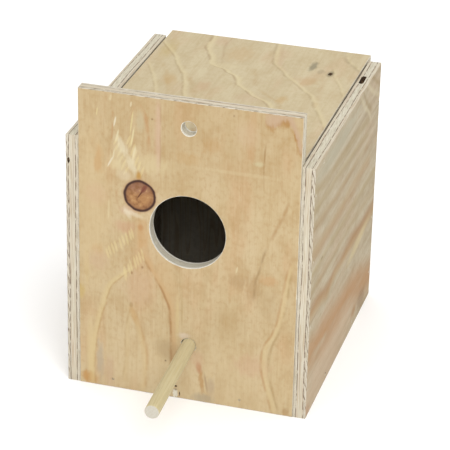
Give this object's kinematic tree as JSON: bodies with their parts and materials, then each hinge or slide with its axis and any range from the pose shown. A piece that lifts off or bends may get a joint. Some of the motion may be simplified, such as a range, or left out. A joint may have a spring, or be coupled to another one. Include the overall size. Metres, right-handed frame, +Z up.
{
  "type": "nesting box",
  "caption": "Plywood nesting box for small cage birds, with a round entrance, a dowel perch, a tall front with a hanging hole and a lid that swings up on two nails.",
  "frame": {"origin": "middle of the underside, halfway between the front and back edges of the sides", "axes": "+Z up, +Y from the front with the entrance to the back, +X to the right of someone facing the front"},
  "size_m": [0.165, 0.2836, 0.2145],
  "materials": {
    "front_plywood": "bare sawn plywood, honey coloured face veneer",
    "side_plywood": "bare sawn plywood, grey tan face veneer",
    "lid_plywood": "bare rotary-cut plywood, cream face veneer",
    "perch_dowel": "bare turned dowel",
    "nail_steel": "bright drawn wire"
  },
  "bodies": {
    "box": {"front_panel": "front_plywood", "left_side": "side_plywood", "right_side": "side_plywood", "back_panel": "side_plywood", "floor_panel": "side_plywood", "perch": "perch_dowel", "left_pivot_nail": "nail_steel", "right_pivot_nail": "nail_steel", "left_front_brads": "nail_steel", "right_front_brads": "nail_steel", "left_back_brads": "nail_steel", "right_back_brads": "nail_steel", "left_floor_brads": "nail_steel", "right_floor_brads": "nail_steel", "front_floor_brads": "nail_steel", "back_floor_brads": "nail_steel"},
    "lid": {"lid": "lid_plywood"}
  },
  "joints": [
    {"name": "lid_hinge", "type": "hinge", "parent": "box", "child": "lid", "pos_m": [0, -0.0703, 0.17665], "axis": [1, 0, 0], "range_deg": [0, 103]}
  ]
}
